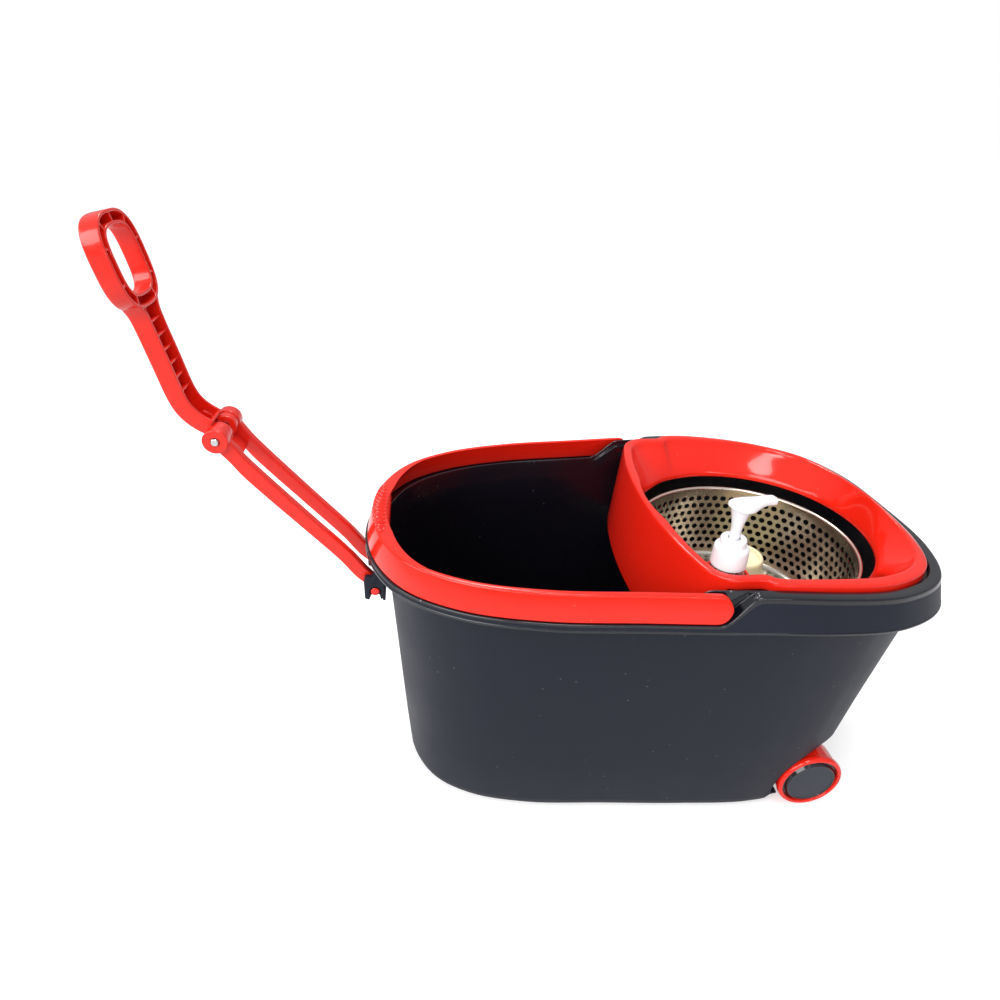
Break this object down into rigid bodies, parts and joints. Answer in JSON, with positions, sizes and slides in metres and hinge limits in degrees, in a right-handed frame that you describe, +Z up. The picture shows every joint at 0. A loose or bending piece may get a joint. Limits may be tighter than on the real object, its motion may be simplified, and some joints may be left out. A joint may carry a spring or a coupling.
{
  "type": "spin mop bucket",
  "caption": "Boat-shaped black mop bucket on rear wheels with a red splash cover over a steel spin basket, a soap pump, a carry bail and a folding pull handle.",
  "frame": {"origin": "on the floor plane in the middle of the tub's flat base, in the symmetry plane of the tub", "axes": "+Z up, +X towards the basket and the wheels, -X towards the nose and the pull handle"},
  "size_m": [0.6401, 0.2994, 0.4896],
  "materials": {
    "black_plastic": "fine matte moulded black polypropylene",
    "red_plastic": "glossy red moulded plastic",
    "basket_steel": "polished perforated stainless steel",
    "hardware_steel": "plain steel",
    "brass": "turned brass",
    "ivory_plastic": "translucent ivory nylon",
    "clear_plastic": "clear blown bottle",
    "natural_plastic": "natural polyethylene tube",
    "white_plastic": "satin white plastic",
    "gasket_rubber": "soft grey washer"
  },
  "bodies": {
    "bucket": {"tub": "black_plastic", "splash_cover": "red_plastic", "bail_pin_near": "black_plastic", "bail_pin_far": "black_plastic", "spindle": "hardware_steel", "spindle_washer": "hardware_steel", "wheel_axle": "hardware_steel", "axle_clip_near": "hardware_steel", "axle_clip_far": "hardware_steel", "handle_bracket": "black_plastic", "bracket_rivet_near": "hardware_steel", "bracket_rivet_far": "hardware_steel", "bottle": "clear_plastic", "bottle_closure": "white_plastic", "closure_gasket": "gasket_rubber", "pump_body": "white_plastic", "dip_tube": "natural_plastic", "pump_spring": "hardware_steel"},
    "carry_bail": {"bail": "red_plastic", "bail_grip": "red_plastic"},
    "basket": {"basket_drum": "basket_steel", "basket_hub": "ivory_plastic", "hub_clamp_plate": "black_plastic", "hub_screw_1": "hardware_steel", "hub_screw_2": "hardware_steel", "hub_screw_3": "hardware_steel", "spindle_bush": "brass"},
    "near_wheel": {"wheel_near": "red_plastic", "wheel_cap_near": "black_plastic"},
    "far_wheel": {"wheel_far": "red_plastic", "wheel_cap_far": "black_plastic"},
    "fork": {"pull_fork": "red_plastic", "hinge_pin": "hardware_steel"},
    "handle": {"pull_handle": "red_plastic"},
    "pump": {"pump_head": "white_plastic", "pump_stem": "white_plastic"}
  },
  "joints": [
    {"name": "bail_swing", "type": "hinge", "parent": "bucket", "child": "carry_bail", "pos_m": [-0.01, 0, 0.253], "axis": [0, 1, 0], "range_deg": [0, 95]},
    {"name": "basket_spin", "type": "hinge", "parent": "bucket", "child": "basket", "pos_m": [0.0785, 0, 0.15], "axis": [0, 0, 1], "continuous": true},
    {"name": "near_wheel_spin", "type": "hinge", "parent": "bucket", "child": "near_wheel", "pos_m": [0.132, -0.108, 0.0305], "axis": [0, 1, 0], "continuous": true},
    {"name": "far_wheel_spin", "type": "hinge", "parent": "bucket", "child": "far_wheel", "pos_m": [0.132, 0.108, 0.0305], "axis": [0, 1, 0], "continuous": true},
    {"name": "fork_swing", "type": "hinge", "parent": "bucket", "child": "fork", "pos_m": [-0.257, 0, 0.197], "axis": [0, -1, 0], "range_deg": [0, 141]},
    {"name": "handle_fold", "type": "hinge", "parent": "fork", "child": "handle", "pos_m": [-0.365, 0, 0.336], "axis": [0, -1, 0], "range_deg": [-153.7, 0]},
    {"name": "pump_press", "type": "slide", "parent": "bucket", "child": "pump", "axis": [0, 0, -1], "range_m": [0, 0.009], "stiffness_N_per_m": 250, "springref_m": -0.004, "deforming": ["pump_spring"]}
  ],
  "couplings": [
    {"joint": "handle_fold", "follows": "fork_swing", "ratio": -1.09}
  ]
}
